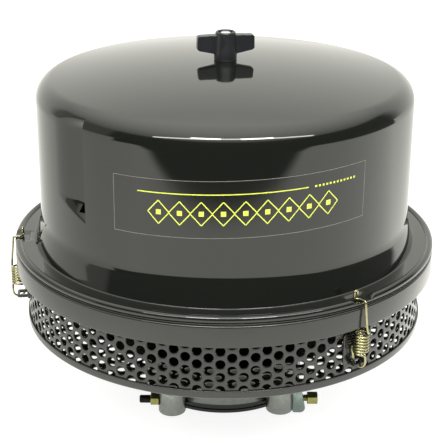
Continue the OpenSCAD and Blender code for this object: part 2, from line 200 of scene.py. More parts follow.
def punched_sheet(cells, pitch, thick, place):
    """Points and faces of a punched sheet, laid out flat and put in the part's frame by place(u, v, depth).

    A cell is (u, v, width, height, hole's radius, its share across); radius 0 leaves the cell whole.
    A hole's outer edge is a little rounded by the coating, and its inner edge is sharp.
    """
    soft = 0.3
    at_place, points, faces, rims = {}, [], [], []

    def corner(u, v, depth):
        spot = place(u, v, depth)
        key = tuple(round(c / (0.05 * MM)) for c in spot)
        if key not in at_place:
            at_place[key] = len(points)
            points.append(spot)
        return at_place[key]

    for u0, v0, width, height, radius, share in cells:
        up = max(1, round(8 * height / pitch))
        rim = [(width / 2, height * (k / up - 0.5)) for k in range(up)]
        rim += [(width * (0.5 - k / 4), height / 2) for k in range(4)]
        rim += [(-width / 2, height * (0.5 - k / up)) for k in range(up)]
        rim += [(width * (k / 4 - 0.5), -height / 2) for k in range(4)]
        outer = [corner(u0 + u, v0 + v, 0) for u, v in rim]
        inner = [corner(u0 + u, v0 + v, thick) for u, v in rim]
        rims.append((outer, inner))
        if not radius:
            faces += [tuple(outer), tuple(reversed(inner))]
            continue
        bearings = [math.atan2(v, u) for u, v in rim]
        loops = [outer]
        mouth = ((radius + soft, 0), (radius + soft * 0.3, soft * 0.3), (radius, soft), (radius, thick))
        for r, depth in mouth:
            across = r * share
            loops.append([corner(u0 + across * math.cos(a), v0 + r * math.sin(a), depth) for a in bearings])
        loops.append(inner)
        for low, high in zip(loops, loops[1:]):
            faces += [(low[j - 1], low[j], high[j], high[j - 1]) for j in range(len(rim))]
    uses = {}
    for outer, inner in rims:
        for j in range(len(outer)):
            edge = frozenset((outer[j - 1], outer[j]))
            uses[edge] = uses.get(edge, 0) + 1
    for outer, inner in rims:
        for j in range(len(outer)):
            if uses[frozenset((outer[j - 1], outer[j]))] == 1:  # the sheet's own edge
                faces.append((outer[j - 1], outer[j], inner[j], inner[j - 1]))
    return points, faces


# The floor is punched with four rings of drain holes near its rim, and the table shows through them.
drain_columns, drain_pitch, drain_mid, drain_r = 88, 12.0, 164.0, 4.2
drain_rings = [drain_mid + drain_pitch * (k - 1.5) for k in range(4)]
drain_in, drain_out = drain_rings[0] - drain_pitch / 2, drain_rings[-1] + drain_pitch / 2
drain_w = 2 * math.pi * drain_mid / drain_columns
drain_cells = [
    (drain_w * (column + 0.5 * (ring % 2)), radius, drain_w, drain_pitch, drain_r, drain_mid / radius)
    for ring, radius in enumerate(drain_rings)
    for column in range(drain_columns)
]


def on_pan_floor(u, v, depth):
    """A point of the pan's floor: u round it, v its radius, depth under its top."""
    a = u / drain_mid
    return (v * math.sin(a) * MM, -v * math.cos(a) * MM, (pan_bottom + sheet - depth) * MM)


pan_top = pan_bottom + sheet
pan_in = [(neck_r, pan_bottom), (drain_in, pan_bottom), (drain_in, pan_top), (neck_r, pan_top)]
pan_out = (
    [(drain_out, pan_bottom)]
    + bend(lip_r - lip_bend_r, pan_bottom + lip_bend_r, lip_bend_r, -90, 0, 8)
    + bend(lip_r - lip_edge_r, lip_top - lip_edge_r, lip_edge_r, 0, 90, 4)
    + [(lip_r - sheet, lip_top)]
    + bend(lip_r - lip_bend_r, pan_bottom + lip_bend_r, lip_bend_r - sheet, 0, -90, 4)
    + [(drain_out, pan_top)]
)
turned("base_pan_floor", pan_in, satin_black, "base", "base_paint", "base_pan", steps=176)
turned("base_pan_rim", pan_out, satin_black, "base", "base_paint", "base_pan")
drain_points, drain_faces = punched_sheet(drain_cells, drain_pitch, sheet, on_pan_floor)
piece("base_pan_drain_holes", drain_points, drain_faces, satin_black, "base", "base_paint", "base_pan")

# Inlet screen: steel sheet punched in staggered rows, rolled to a cylinder and powder coated,
# so that the hole edges are a little rounded and shine. Its top runs up behind the band.
screen_r = 193.5
screen_columns = 120
screen_turn = -0.8
screen_w = 2 * math.pi * screen_r / screen_columns
hole_pitch, hole_r, full_rows = 12.5, 4.4, 5
screen_top = 145.7
screen_black = powder_coat("powder_coat_screen_black", "#11120f", 0.26, 0.15, 1.5, 0.006, 0.25)
screen_cells = []
for column in range(screen_columns):
    full = column % 2 == 0
    first_row = screen_top - hole_pitch / 2 * (1 if full else 2)
    for k in range(full_rows if full else full_rows - 1):
        row_z = first_row - hole_pitch * k
        screen_cells.append((screen_w * column, row_z, screen_w, hole_pitch, hole_r, 1.0))
    if not full:  # plain half cells close the column above and below
        for v in (screen_top - hole_pitch / 4, first_row - hole_pitch * (full_rows - 1.25)):
            screen_cells.append((screen_w * column, v, screen_w, hole_pitch / 2, 0, 1.0))


def on_screen(u, v, depth):
    """A point of the screen: u round it, v its height, depth behind its outer face."""
    a = u / screen_r + math.radians(screen_turn)
    r = screen_r - depth
    return (r * math.sin(a) * MM, -r * math.cos(a) * MM, v * MM)


screen_points, screen_faces = punched_sheet(screen_cells, hole_pitch, sheet, on_screen)
piece("inlet_screen", screen_points, screen_faces, screen_black, "base", "screen_paint", "screen")

# Support band: a deep channel of folded sheet that carries the hood on top of the screen.
# Its outer wall has rounded folds above and below and the same satin powder coat.
band_r = 204.0
band_low = 135.0
band_high = 156.0
fold = 1.8
band_foot_r, band_seat_r = screen_r - 2.5, 182
band_section = (
    [(band_foot_r, band_low)]
    + bend(band_r - fold, band_low + fold, fold, -90, 0)
    + bend(band_r - fold, band_high - fold, fold, 0, 90)
    + [(band_seat_r, band_high), (band_seat_r, band_high - sheet)]
    + bend(band_r - fold, band_high - fold, fold - sheet, 90, 0, 2)
    + bend(band_r - fold, band_low + fold, fold - sheet, 0, -90, 2)
    + [(band_foot_r, band_low + sheet)]
)
turned("support_band_channel", band_section, satin_black, "base", "base_paint", "support_band")


# Swirl vanes and rotor: glass-filled nylon, injection moulded, matt from the glass fibre,
# with a fine spark-eroded grain. The rotor runs free on the stud above the fixed ring.
def moulded_nylon(name, colour, roughness, grain_mm, grain_height_mm):
    """Injection-moulded nylon: a matt black body, a fine eroded grain and faint flow clouds."""
    material, tree, place = bare_finish(name)
    flow_mm = 14
    grain = add(tree, "ShaderNodeTexNoise", {"Vector": place, "Scale": 1 / (grain_mm * MM), "Detail": 3.0})
    flow = add(
        tree,
        "ShaderNodeTexNoise",
        {"Vector": place, "Scale": 1 / (flow_mm * MM), "Detail": 2.0, "Distortion": 0.6},
    )
    tone = add(
        tree,
        "ShaderNodeMix",
        {0: flow.outputs["Fac"], 6: linear(colour), 7: linear("#26262a")},
        data_type="RGBA",
    )
    wear = add(
        tree,
        "ShaderNodeMapRange",
        {0: grain.outputs["Fac"], 1: 0.3, 2: 0.7, 3: roughness - 0.07, 4: roughness + 0.1},
        clamp=True,
    )
    bump = add(
        tree,
        "ShaderNodeBump",
        {"Height": grain.outputs["Fac"], "Strength": 1.0, "Distance": grain_height_mm * MM},
    )
    skin = add(
        tree,
        "ShaderNodeBsdfPrincipled",
        {
            "Base Color": tone.outputs[2],
            "Roughness": wear.outputs[0],
            "IOR": 1.53,
            "Normal": bump.outputs["Normal"],
        },
    )
    add(tree, "ShaderNodeOutputMaterial", {"Surface": skin.outputs[0]})
    return material


dress(moulded_nylon("nylon_vane_black", "#101011", 0.55, 0.9, 0.02), "vane_ring")
dress(moulded_nylon("nylon_rotor_grey", "#1b1b1d", 0.5, 0.9, 0.02), "rotor")


# Spider, stud, bearings and nuts: turned and rolled steel, electroplated with bright zinc,
# and the spider sand cast in grey iron. Plating leaves a pale, slightly milky metal.
def zinc_plate(name, colour, tint, roughness, spangle_mm, lines_mm):
    """Electroplated zinc on steel: pale metal, milky where the passivation is thicker, and drawn lines.

    The lines are drawn about ten times coarser than real tool marks, so that they show.
    """
    line_height_mm, line_stretch = 0.012, 9.0
    material, tree, place = bare_finish(name)
    patch = add(
        tree,
        "ShaderNodeTexNoise",
        {"Vector": place, "Scale": 1 / (spangle_mm * MM), "Detail": 4.0, "Distortion": 0.4},
    )
    tone = add(
        tree, "ShaderNodeMix", {0: patch.outputs["Fac"], 6: linear(colour), 7: linear(tint)}, data_type="RGBA"
    )
    spread = add(
        tree,
        "ShaderNodeMapRange",
        {0: patch.outputs["Fac"], 1: 0.35, 2: 0.7, 3: roughness * 0.75, 4: roughness * 1.35},
        clamp=True,
    )
    stretch = add(tree, "ShaderNodeMapping", {"Vector": place, "Scale": (1.0, 1.0, line_stretch)})
    lines = add(
        tree,
        "ShaderNodeTexNoise",
        {"Vector": stretch.outputs[0], "Scale": 1 / (lines_mm * MM), "Detail": 2.0},
    )
    bump = add(
        tree,
        "ShaderNodeBump",
        {"Height": lines.outputs["Fac"], "Strength": 1.0, "Distance": line_height_mm * MM},
    )
    skin = add(
        tree,
        "ShaderNodeBsdfPrincipled",
        {
            "Base Color": tone.outputs[2],
            "Metallic": 1.0,
            "Roughness": spread.outputs[0],
            "Normal": bump.outputs["Normal"],
        },
    )
    add(tree, "ShaderNodeOutputMaterial", {"Surface": skin.outputs[0]})
    return material


bright_zinc = zinc_plate("zinc_plate_bright", "#999c99", "#7a7f7d", 0.3, 6, 1.2)
yellow_zinc = zinc_plate("zinc_plate_yellow_passivated", "#a9a66f", "#83844c", 0.27, 5, 1.2)
dress(bright_zinc, "spindle_collar", "rotor_lock_nut", "hood_stop_nut")
bearing_steel = zinc_plate("bearing_steel_ground", "#b8babd", "#9fa2a6", 0.22, 8, 0.8)
dress(bearing_steel, "rotor_bearing_lower", "rotor_bearing_upper")
dress(zinc_plate("grey_iron_cast", "#6c6d6f", "#55565a", 0.5, 2, 1.5), "stud_spider")


# Seal under the hood's rolled edge: a flat ring of extruded nitrile rubber, matt and slightly dusty,
# whose rounded outer lip shows as a thin line above the band.
def nitrile_rubber(name, colour, roughness):
    """Cured nitrile rubber: soft matt black with a bloom of paler dust and a fine skin."""
    material, tree, place = bare_finish(name)
    bloom_mm, skin_height_mm = 4, 0.03
    bloom = add(tree, "ShaderNodeTexNoise", {"Vector": place, "Scale": 1 / (bloom_mm * MM), "Detail": 4.0})
    dusty = linear("#2c2c2b")
    tone = add(
        tree, "ShaderNodeMix", {0: bloom.outputs["Fac"], 6: linear(colour), 7: dusty}, data_type="RGBA"
    )
    bump = add(
        tree,
        "ShaderNodeBump",
        {"Height": bloom.outputs["Fac"], "Strength": 1.0, "Distance": skin_height_mm * MM},
    )
    skin = add(
        tree,
        "ShaderNodeBsdfPrincipled",
        {
            "Base Color": tone.outputs[2],
            "Roughness": roughness,
            "IOR": 1.52,
            "Normal": bump.outputs["Normal"],
        },
    )
    add(tree, "ShaderNodeOutputMaterial", {"Surface": skin.outputs[0]})
    return material


seal_rubber = nitrile_rubber("nitrile_rubber_black", "#131313", 0.45)
seal_in, seal_out = 194.5, 202.0
seal_low, seal_mid, seal_lip_r = 156.05, 156.68, 0.6
seal_section = (
    [(seal_in, seal_low), (seal_out, seal_low)]
    + bend(seal_out, seal_mid, seal_lip_r, -90, 90)
    + [(seal_in, seal_mid + seal_lip_r)]
)
turned("hood_seal_ring", seal_section, seal_rubber, "base", "seal_rubber", "hood_gasket")

# Hood: one deep-drawn shell of 1.5 mm steel with a shallow dome, a leaning skirt and a rolled edge,
# lanced at the front left for the dust slot, and finished in gloss black powder.
# The rolled edge is pressed flat where each spring clip hooks over it.
hood_r = 178.0
wall_top = 301.4
knuckle_r = 18.5
crown_r = 926.0
skirt_lean = math.radians(16)
skirt_top = 190.6
skirt_bend_r = 30.0
foot_r = 1.4
bead_r = 3.6
bead_centre = (200.4, 160.9)
flange_top = 162.5
stud_hole_r = 5.5
crown_angle = math.acos((hood_r - knuckle_r) / (crown_r - knuckle_r))
crown_z = wall_top - (crown_r - knuckle_r) * math.sin(crown_angle)
apex = crown_z + crown_r
lean_sin, lean_cos = math.sin(skirt_lean), math.cos(skirt_lean)
skirt_l = (skirt_top - flange_top - foot_r - (skirt_bend_r - foot_r) * lean_sin) / lean_cos
foot_x = hood_r + skirt_bend_r - (skirt_bend_r - foot_r) * lean_cos + skirt_l * lean_sin
slot_start, slot_edge = -57.0, -43.0
slot_low, slot_high = 224.0, 300.0
slot_depth = 11.0
slot_curl, curl_end = 0.62, 0.684  # share of a half wave that the press follows, and its height there
shelf_rise, shelf_drop, shelf_soft, shelf_spread, slot_fade = 10.5, 15.5, 2.5, 10.5, 13
notch_left, notch_low, notch_high = -46.8, 226.5, 233.5
clip_azimuths = (36.5, 156.5, 276.5)
seat_top = 160.7
seat_half_w, seat_flat_w, seat_in, seat_full = 12.5, 8, 188.6, 191.2
bead_start = 153  # where the rolled edge leaves the flange, in degrees of its own circle
unpressed = 1e-4


def ease(x, low, high):
    """0 below low, 1 above high, and a smooth rise between."""
    t = min(1.0, max(0.0, (x - low) / (high - low)))
    return t * t * (3 - 2 * t)


def hood_section(depth):
    """The hood's outer face from the stud's hole to the rolled edge, or the face depth under it."""
    lean = math.degrees(skirt_lean)
    crown_end = math.degrees(crown_angle)
    hole_angle = math.degrees(math.acos(stud_hole_r / crown_r))
    dome = bend(0, crown_z, crown_r - depth, hole_angle, crown_end, 26)
    knuckle = bend(hood_r - knuckle_r, wall_top, knuckle_r - depth, crown_end, 0, 22)
    heights = [298, 294, 290, 284, 276, 268, 260, 252, 246, 242]
    heights += [239.5 - 1.25 * k for k in range(19)] + [213, 208, 202, 196]  # closer where the slot opens
    wall = [(hood_r - depth, z) for z in heights]
    turn = bend(hood_r + skirt_bend_r, skirt_top, skirt_bend_r + depth, 180, 180 + lean, 8)
    foot = bend(foot_x, flange_top + foot_r, foot_r + depth, 180 + lean, 270, 8)
    flange = [(r, flange_top - depth) for r in (189.2, 190.2, seat_full, 193, 195, 197.3)]
    skirt_a, skirt_b = turn[-1], foot[0]
    skirt = [
        (skirt_a[0] + (skirt_b[0] - skirt_a[0]) * k / 5, skirt_a[1] + (skirt_b[1] - skirt_a[1]) * k / 5)
        for k in range(1, 5)
    ]
    return dome + knuckle[1:] + wall + turn + skirt + foot + flange


def slot_press(azimuth, z):
    """How far the lanced panel is pushed in, in millimetres."""
    along = (azimuth - slot_start) / (slot_edge - slot_start)
    if along <= 0 or azimuth > slot_edge:
        return 0.0
    sweep = (0.5 - 0.5 * math.cos(math.pi * min(1.0, along * slot_curl))) / curl_end
    foot = slot_low + shelf_rise - shelf_drop * along  # the shelf runs down toward the open edge
    shelf = min(1.0, max(0.0, (z - foot) / (shelf_soft + shelf_spread * along)))
    return slot_depth * sweep * shelf * (1 - ease(z, slot_high, slot_high + slot_fade))


def seat_press(azimuth, r, z, limit):
    """Height after the rolled edge is pressed flat under the clips' hooks."""
    for at in clip_azimuths:
        off = abs((azimuth - at + 180) % 360 - 180) * math.pi / 180 * r
        if off < seat_half_w:
            share = (1 - ease(off, seat_flat_w, seat_half_w)) * ease(r, seat_in, seat_full)
            return z + (min(z, limit) - z) * share
    return z


columns = set(np.round(np.arange(-180, 180, 1.25), 3))
columns |= set(np.round(np.arange(-61, -41, 0.5), 3))
for at in clip_azimuths:
    columns |= {round((at + k * 0.5 + 180) % 360 - 180, 3) for k in range(-9, 10)}
columns = sorted(columns - {slot_edge})
columns = [c for i, c in enumerate(columns) if i == 0 or c - columns[i - 1] > 0.2]  # no slivers
edge_at = next(i for i, c in enumerate(columns) if c > slot_edge)
columns[edge_at:edge_at] = [slot_edge, slot_edge]  # the slot's open edge has a pressed and a plain side
outer_rows, inner_rows = hood_section(0), hood_section(sheet)
rows = len(outer_rows)


def hood_place(index, row, inside):
    """Where a grid corner of the hood lies, on its outer or inner face."""
    azimuth = columns[index]
    r, z = (inner_rows if inside else outer_rows)[row]
    if index != edge_at + 1:
        r -= slot_press(azimuth, outer_rows[row][1]) if outer_rows[row][0] > 150 else 0
    z = seat_press(azimuth, r, z, seat_top - (sheet if inside else 0))
    a = math.radians(azimuth)
    return (r * math.sin(a) * MM, -r * math.cos(a) * MM, z * MM)


def cell_open(index, row):
    """The notch at the slot's lower corner, where the lance went right through the sheet."""
    return notch_left < columns[index] < slot_edge - 0.1 and notch_low < outer_rows[row][1] < notch_high


def cell_there(index, row):
    """Whether the grid has steel at a cell: not past its ends, in the slit or in the notch."""
    index %= len(columns)
    return 0 <= row < rows - 1 and index != edge_at and not cell_open(index, row)


points, faces = [], []
at_place = {}


def corner(index, row, inside):
    """The point at a grid corner; both sides of the slot's edge share it where the panel isn't pressed."""
    index %= len(columns)
    if index == edge_at + 1 and slot_press(slot_edge, outer_rows[row][1]) < unpressed:
        index = edge_at
    key = (index, row, inside)
    if key not in at_place:
        at_place[key] = len(points)
        points.append(hood_place(index, row, inside))
    return at_place[key]


for i in range(len(columns)):
    for j in range(rows - 1):
        if not cell_there(i, j):
            continue
        ring = [(i, j), (i + 1, j), (i + 1, j + 1), (i, j + 1)]
        faces.append(tuple(corner(a, b, False) for a, b in ring))
        faces.append(tuple(corner(a, b, True) for a, b in reversed(ring)))
        neighbours = [(i, j - 1), (i + 1, j), (i, j + 1), (i - 1, j)]
        for side, (ni, nj) in enumerate(neighbours):
            a, b = ring[side], ring[(side + 1) % 4]
            across = cell_there(ni, nj)
            if not across and ni % len(columns) == edge_at:  # only the slit lies between, so look past it
                shared = all(slot_press(slot_edge, outer_rows[q][1]) < unpressed for q in (a[1], b[1]))
                across = shared and cell_there(ni + (ni - i), nj)
            if not across:
                faces.append((corner(*b, False), corner(*a, False), corner(*a, True), corner(*b, True)))
bead_steps = 28
first = len(points)
for azimuth in columns[:edge_at] + columns[edge_at + 1 :]:
    for r, z in bend(*bead_centre, bead_r, bead_start, bead_start - 360, bead_steps)[:-1]:
        z = seat_press(azimuth, max(r, 195), z, seat_top + 0.05 * (r - 200))
        a = math.radians(azimuth)
        points.append((r * math.sin(a) * MM, -r * math.cos(a) * MM, z * MM))
faces += ring_faces(len(columns) - 1, bead_steps, first)
gloss_black = powder_coat("powder_coat_gloss_black", "#0b0d0a", 0.05, 0.0, 2.6, 0.0025, 0.1)
piece("hood_shell", points, faces, gloss_black, "base", "hood_paint", "hood")

# Decal on the wall: thin cast vinyl with a gloss overlaminate, rolled on by hand, so it sits
# a touch uphill to the right. Inside a grey hairline border it carries plain lime diamonds, a thin
# stripe and a row of small squares.
decal_left, decal_right = -32.0, 42.5
decal_h = 51.5
decal_w = math.radians(decal_right - decal_left) * hood_r
decal_mid_left, decal_mid_right = 247.6, 254.2


def on_wall(u, v, lift):
    """A point of the decal, u along it and v up from its middle, in millimetres, lifted off the wall."""
    a = math.radians(decal_left) + u / hood_r
    z = decal_mid_left + (decal_mid_right - decal_mid_left) * u / decal_w + v
    r = hood_r + lift
    return (r * math.sin(a) * MM, -r * math.cos(a) * MM, z * MM)


def wrapped(name, patches, base, top, material):
    """Thin vinyl on the wall; each patch is a strip of (u, v) pairs, its two long sides point by point."""
    points, faces = [], []
    for low_side, high_side in patches:
        n = len(low_side)
        start = len(points)
        for lift in (base, top):
            points.extend(on_wall(u, v, lift) for u, v in low_side)
            points.extend(on_wall(u, v, lift) for u, v in high_side)
        for k in range(n - 1):
            a, b, c, d = start + k, start + k + 1, start + n + k + 1, start + n + k
            e, f, g, h = (q + 2 * n for q in (a, b, c, d))
            faces += [(e, f, g, h), (d, c, b, a), (a, b, f, e), (c, d, h, g)]
        for k in (0, n - 1):
            faces.append((start + k, start + n + k, start + 3 * n + k, start + 2 * n + k))
    return piece(name, points, faces, material, "base", None, sharp=60)


def strip(u0, v0, u1, v1, width):
    """A straight stroke from one point to another."""
    n = max(2, int(abs(u1 - u0) / 2.5) + 2)
    length = math.hypot(u1 - u0, v1 - v0)
    du, dv = -(v1 - v0) / length * width / 2, (u1 - u0) / length * width / 2
    line = [(u0 + (u1 - u0) * k / (n - 1), v0 + (v1 - v0) * k / (n - 1)) for k in range(n)]
    return [(u - du, v - dv) for u, v in line], [(u + du, v + dv) for u, v in line]


def cast_vinyl(name, colour, roughness):
    """Cast vinyl film: even colour under a clear gloss laminate, with the faint ripple of hand rolling."""
    material, tree, place = bare_finish(name)
    ripple_mm, ripple_height_mm, fleck_mm = 7, 0.012, 1.1
    ripple = add(tree, "ShaderNodeTexNoise", {"Vector": place, "Scale": 1 / (ripple_mm * MM), "Detail": 2.0})
    fleck = add(tree, "ShaderNodeTexNoise", {"Vector": place, "Scale": 1 / (fleck_mm * MM), "Detail": 3.0})
    shade = add(tree, "ShaderNodeMapRange", {0: fleck.outputs["Fac"], 3: 0.9, 4: 1.1})
    tone = add(tree, "ShaderNodeHueSaturation", {"Color": linear(colour), "Value": shade.outputs[0]})
    bump = add(
        tree,
        "ShaderNodeBump",
        {"Height": ripple.outputs["Fac"], "Strength": 1.0, "Distance": ripple_height_mm * MM},
    )
    skin = add(
        tree,
        "ShaderNodeBsdfPrincipled",
        {
            "Base Color": tone.outputs[0],
            "Roughness": roughness,
            "IOR": 1.5,
            "Normal": bump.outputs["Normal"],
        },
    )
    add(tree, "ShaderNodeOutputMaterial", {"Surface": skin.outputs[0]})
    return material


film_black = cast_vinyl("cast_vinyl_black", "#0b0b09", 0.12)
lime_print = cast_vinyl("cast_vinyl_lime", "#c8d24a", 0.35)
edge_print = cast_vinyl("cast_vinyl_grey", "#6d6d66", 0.35)
half = decal_h / 2
film_t, border_t, ink_t = 0.12, 0.04, 0.05
wrapped("decal_film", [strip(0, 0, decal_w, 0, decal_h)], 0.0, film_t, film_black)
border, border_end = 0.45, 0.3
hairlines = [
    strip(border_end, half - border, decal_w - border_end, half - border, border),
    strip(border_end, border - half, decal_w - border_end, border - half, border),
    strip(border, border - half, border, half - border, border),
    strip(decal_w - border, border - half, decal_w - border, half - border, border),
]
wrapped("decal_border", hairlines, film_t, film_t + border_t, edge_print)
motifs = []
diamond_w, diamond_h, diamond_pitch, stroke = 19.0, 21.0, 18.5, 0.9
centre_square = 4.4
first_u, v = 43, -3.5
for k in range(9):
    u = first_u + diamond_pitch * k
    tips = [(u - diamond_w / 2, v), (u, v + diamond_h / 2), (u + diamond_w / 2, v), (u, v - diamond_h / 2)]
    motifs += [strip(*tips[i], *tips[(i + 1) % 4], stroke) for i in range(4)]
    motifs.append(strip(u - centre_square / 2, v, u + centre_square / 2, v, centre_square))
stripe_v, small_square = 13.5, 1.8
stripe_from, stripe_to, squares_from = 24, decal_w - 60, decal_w - 54
motifs.append(strip(stripe_from, stripe_v, stripe_to, stripe_v, stroke))
for k in range(12):
    u = squares_from + 2 * small_square * k
    motifs.append(strip(u, stripe_v, u + small_square, stripe_v, small_square))
wrapped("decal_motif", motifs, film_t, film_t + ink_t, lime_print)


# Wing knob: moulded glass-filled nylon on a brass insert, with rounded wings and a tapered hub.
# Moulding leaves soft fillets where the wings meet the hub and a fine satin grain.
knob_z = apex + 1.5
knob_turn = 10.0
knob_h = 25.0


def moulded_body(parts, voxel_mm, rounds):
    """Joins closed parts into one body as a mould would, with soft fillets."""
    work = bmesh.new()
    for verts, part_faces in parts:
        made = [work.verts.new(v) for v in verts]
        for f in part_faces:
            work.faces.new([made[i] for i in f])
    bmesh.ops.recalc_face_normals(work, faces=work.faces)
    mesh = bpy.data.meshes.new("mould")
    work.to_mesh(mesh)
    work.free()
    blank = bpy.data.objects.new("mould", mesh)
    bpy.context.scene.collection.objects.link(blank)
    remesh = blank.modifiers.new("join", "REMESH")
    remesh.mode = "VOXEL"
    remesh.voxel_size = voxel_mm * MM
    smooth = blank.modifiers.new("fillet", "SMOOTH")
    smooth.factor = 0.5
    smooth.iterations = rounds
    bpy.context.view_layer.update()
    done = bpy.data.meshes.new_from_object(blank.evaluated_get(bpy.context.evaluated_depsgraph_get()))
    bpy.data.objects.remove(blank)
    return [tuple(v.co) for v in done.vertices], [tuple(p.vertices) for p in done.polygons]


def lathe(section, steps=64):
    """A closed body of revolution about Z, in metres; its section ends on the axis or closes on itself."""
    verts = [
        (r * math.cos(2 * math.pi * i / steps) * MM, r * math.sin(2 * math.pi * i / steps) * MM, z * MM)
        for i in range(steps)
        for r, z in section
    ]
    return verts, ring_faces(steps, len(section))


def wing(side):
    """One wing of the knob: a thick web that is a little thinner at its tip."""
    top = knob_h - 3.0
    root_t, thinner, taper_from, taper_l = 4.5, 0.7, 12, 15
    lower = [(4, 3.6), (10.6, 4.4), (25.4, 7.4), (27.2, 9.2)]
    outline = lower + [(26.9, top - 1.8), (25.2, top - 0.3), (9.6, top), (4, top + 0.4)]
    verts = []
    for y in (-1, 1):
        for x, z in outline:
            t = root_t if x < taper_from else root_t - thinner * (x - taper_from) / taper_l
            verts.append((side * x * MM, y * t * MM, z * MM))
    n = len(outline)
    quads = [(i, (i + 1) % n, n + (i + 1) % n, n + i) for i in range(n)]
    return verts, quads + [tuple(range(n)), tuple(range(2 * n - 1, n - 1, -1))]


hub_outside = [(8.6, -1.2), (10.3, -1.2), (10.8, -0.7), (10.8, 4.5), (10.2, 12.0), (9.6, 23.6)]
hub_mouth = [(9.2, 24.6), (8.6, knob_h), (7.8, 24.8), (7.1, 24.0)]
hub_bore = [(6.9, 14.0), (7.6, 13.0), (8.6, 12.0)]
hub = hub_outside + hub_mouth + hub_bore
knob_points, knob_faces = moulded_body([lathe(hub), wing(1), wing(-1)], voxel_mm=0.42, rounds=5)
knob_place = Matrix.Translation((0, 0, knob_z * MM)) @ Matrix.Rotation(math.radians(knob_turn), 4, "Z")
knob_points = [tuple(knob_place @ Vector(p)) for p in knob_points]
knob_nylon = moulded_nylon("nylon_knob_black", "#0b0e0d", 0.33, 0.7, 0.012)
piece("wing_knob", knob_points, knob_faces, knob_nylon, "knob", "knob_plastic", "knob", sharp=180)
dress(zinc_plate("brass_insert", "#c9a85a", "#b0914a", 0.3, 5, 1.0), "knob_insert")
dress(seal_rubber, "knob_washer")

# The stud that the knob runs on: bright-plated steel bar, cut to length, so its end above the knob
# is faced and chamfered and paler than the shank.
stud_r = 5.0
stud_foot, stud_split, stud_top = 179.2, 355.0, 359.8
pale_zinc = zinc_plate("zinc_plate_stud_end", "#dcdcd8", "#cfcfca", 0.25, 6, 1.5)
stud_end = [(0.0, stud_split), (stud_r, stud_split), (stud_r, 358.6), (4.2, 359.5), (0.0, stud_top)]
stud_shank = [(0.0, stud_foot), (stud_r, stud_foot), (stud_r, stud_split), (0.0, stud_split)]
for name, section, plating in (
    ("stud_end_polished", stud_end, pale_zinc),
    ("stud_shank", stud_shank, bright_zinc),
):
    points, faces = lathe(section, 48)
    piece(name, points, faces, plating, "base", "zinc_steel", "centre_stud", sharp=30)

# Spring clips: hard-drawn 2 mm spring wire, coiled on a mandrel and yellow passivated. An eye and hook
# go over the hood's edge, and the loop hangs in the bracket's slotted ear.
clip_r = 204.0
wire_d = 2.0
coil_r, coil_x = 6.3, -0.9
coil_low, coil_high, coil_turns = 111.5, 131.5, 7
ear_z, ear_t = 101.0, 2.5
hook_gap, hook_past_bead = 0.3, 4
hook_z = seat_top + hook_gap + wire_d / 2
hook_x = bead_centre[0] - hook_past_bead - clip_r
corner_x, corner_r = 2.4, 2.2
eye_r, eye_h = 1.7, 4.4
eye_side, eye_tip, loop_gap = 1.6, 1.2, 0.72
leg_in = (-6.8, -3.0)
loop_z = ear_z - ear_t / 2 - loop_gap - wire_d / 2
turn_steps = 28


def clip_path():
    """Centre line of the wire in the clip's own frame: X outward from its radius, Z up, in millimetres.

    It runs from the eye along the hook, down the arm, round the coil and through the ear as a loop.
    """

    def arc(n, start, step):
        return [math.radians(start + step * i) for i in range(n)]

    side = -eye_r - eye_side  # the eye stands a little to one side of the arm
    eye_low, eye_high = hook_z + eye_r, hook_z + eye_r + eye_h
    path = [(hook_x + 0.7, side + eye_r, eye_low + eye_tip)]
    for x, middle, turns in ((0.5, eye_high, arc(17, 0, 11)), (0.2, eye_low, arc(13, 180, 7.5))):
        path += [(hook_x + x, side + eye_r * math.cos(a), middle + eye_r * math.sin(a)) for a in turns]
    path += [(hook_x + 0.6, -1.5, hook_z), (hook_x + 2.6, -0.6, hook_z), (hook_x + 5.5, 0, hook_z)]
    path += [
        (corner_x - corner_r + corner_r * math.cos(a), 0, hook_z - corner_r + corner_r * math.sin(a))
        for a in arc(10, 90, -9.3)
    ]
    steps = coil_turns * turn_steps
    path += [
        (
            coil_x + coil_r * math.cos(2 * math.pi * coil_turns * i / steps),
            coil_r * math.sin(2 * math.pi * coil_turns * i / steps),
            coil_high - (coil_high - coil_low) * i / steps,
        )
        for i in range(steps + 1)
    ]
    leg_out = coil_x + coil_r
    mid = ((leg_out + leg_in[0]) / 2, leg_in[1] / 2)
    reach = math.hypot(leg_out - leg_in[0], -leg_in[1]) / 2
    way = ((leg_out - leg_in[0]) / (2 * reach), -leg_in[1] / (2 * reach))
    for a in arc(17, 0, -11.25):
        across = reach * math.cos(a)
        height = loop_z + reach + reach * math.sin(a)
        path.append((mid[0] + way[0] * across, mid[1] + way[1] * across, height))
    return path + [(leg_in[0] - 1, leg_in[1] - 1.6, coil_low + 4.5)]


def rounded_path(path, rounds):
    """Eases the kinks of a wire's path as a bending mandrel would, its ends kept."""
    for _ in range(rounds):
        eased = [
            tuple((a + 2 * b + c) / 4 for a, b, c in zip(*path[i - 1 : i + 2]))
            for i in range(1, len(path) - 1)
        ]
        path = [path[0]] + eased + [path[-1]]
    return path


def capped_faces(count, n):
    """Faces of a body made of count loops of n points each, with both ends closed."""
    last = (count - 1) * n
    sides = [
        (i * n + j, i * n + (j + 1) % n, (i + 1) * n + (j + 1) % n, (i + 1) * n + j)
        for i in range(count - 1)
        for j in range(n)
    ]
    return sides + [tuple(range(n - 1, -1, -1)), tuple(range(last, last + n))]


